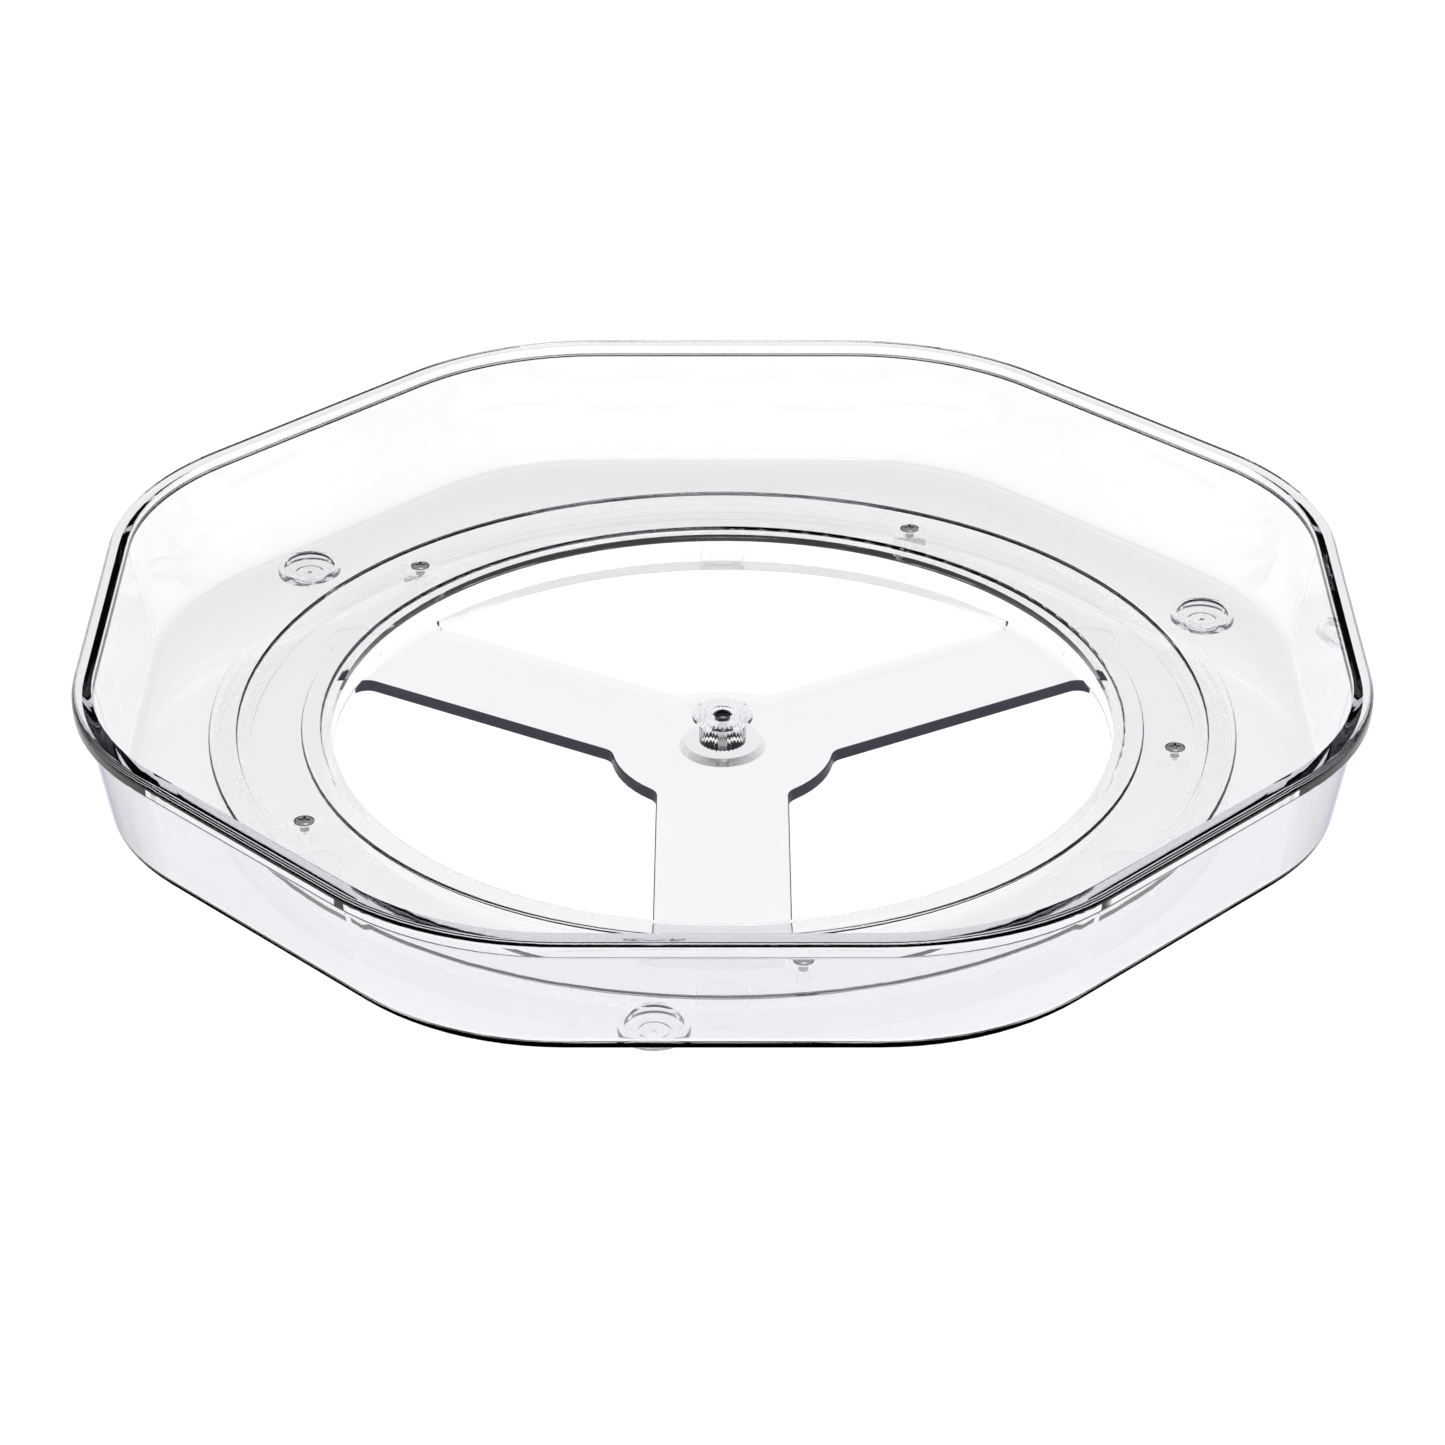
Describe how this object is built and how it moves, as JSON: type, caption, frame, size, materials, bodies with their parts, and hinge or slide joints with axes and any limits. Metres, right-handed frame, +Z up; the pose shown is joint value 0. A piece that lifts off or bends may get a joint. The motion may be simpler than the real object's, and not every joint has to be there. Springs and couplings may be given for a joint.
{
  "type": "lazy susan turntable",
  "caption": "Clear octagonal turntable tray on a ball ring, turning about a fixed three-arm base with a short fluted centre post.",
  "frame": {"origin": "centre of the turning axis at the underside of the base feet, on the table", "axes": "+Z up along the turning axis; +X and +Y across two pairs of the tray's flats at rest, with one base arm along -Y"},
  "size_m": [0.305, 0.305, 0.0442],
  "materials": {
    "clear_tray": "clear, polished",
    "clear_base": "clear, polished",
    "clear_silicone": "clear, soft",
    "screw_steel": "plated",
    "bearing_plastic": "natural white"
  },
  "bodies": {
    "base": {"base_frame": "clear_base", "race_ring": "clear_base", "hub_post": "clear_base", "post_screw": "screw_steel", "base_foot_1": "clear_silicone", "base_foot_2": "clear_silicone", "base_foot_3": "clear_silicone", "base_foot_4": "clear_silicone", "base_foot_5": "clear_silicone", "base_foot_6": "clear_silicone"},
    "turning_tray": {"tray": "clear_tray", "retainer_ring": "clear_base", "retainer_screw_1": "screw_steel", "retainer_screw_2": "screw_steel", "retainer_screw_3": "screw_steel", "retainer_screw_4": "screw_steel", "retainer_screw_5": "screw_steel", "tip_pad_1": "clear_silicone", "tip_pad_2": "clear_silicone", "tip_pad_3": "clear_silicone"},
    "ball_train": {"ball_cage": "bearing_plastic", "ball_01": "bearing_plastic", "ball_02": "bearing_plastic", "ball_03": "bearing_plastic", "ball_04": "bearing_plastic", "ball_05": "bearing_plastic", "ball_06": "bearing_plastic", "ball_07": "bearing_plastic", "ball_08": "bearing_plastic", "ball_09": "bearing_plastic", "ball_10": "bearing_plastic", "ball_11": "bearing_plastic", "ball_12": "bearing_plastic", "ball_13": "bearing_plastic", "ball_14": "bearing_plastic", "ball_15": "bearing_plastic", "ball_16": "bearing_plastic", "ball_17": "bearing_plastic", "ball_18": "bearing_plastic", "ball_19": "bearing_plastic", "ball_20": "bearing_plastic", "ball_21": "bearing_plastic", "ball_22": "bearing_plastic", "ball_23": "bearing_plastic", "ball_24": "bearing_plastic"}
  },
  "joints": [
    {"name": "tray_spin", "type": "hinge", "parent": "base", "child": "turning_tray", "pos_m": [0, 0, 0.0095], "axis": [0, 0, 1], "continuous": true},
    {"name": "cage_spin", "type": "hinge", "parent": "base", "child": "ball_train", "pos_m": [0, 0, 0.0095], "axis": [0, 0, 1], "continuous": true}
  ],
  "couplings": [
    {"joint": "cage_spin", "follows": "tray_spin", "ratio": 0.5}
  ]
}
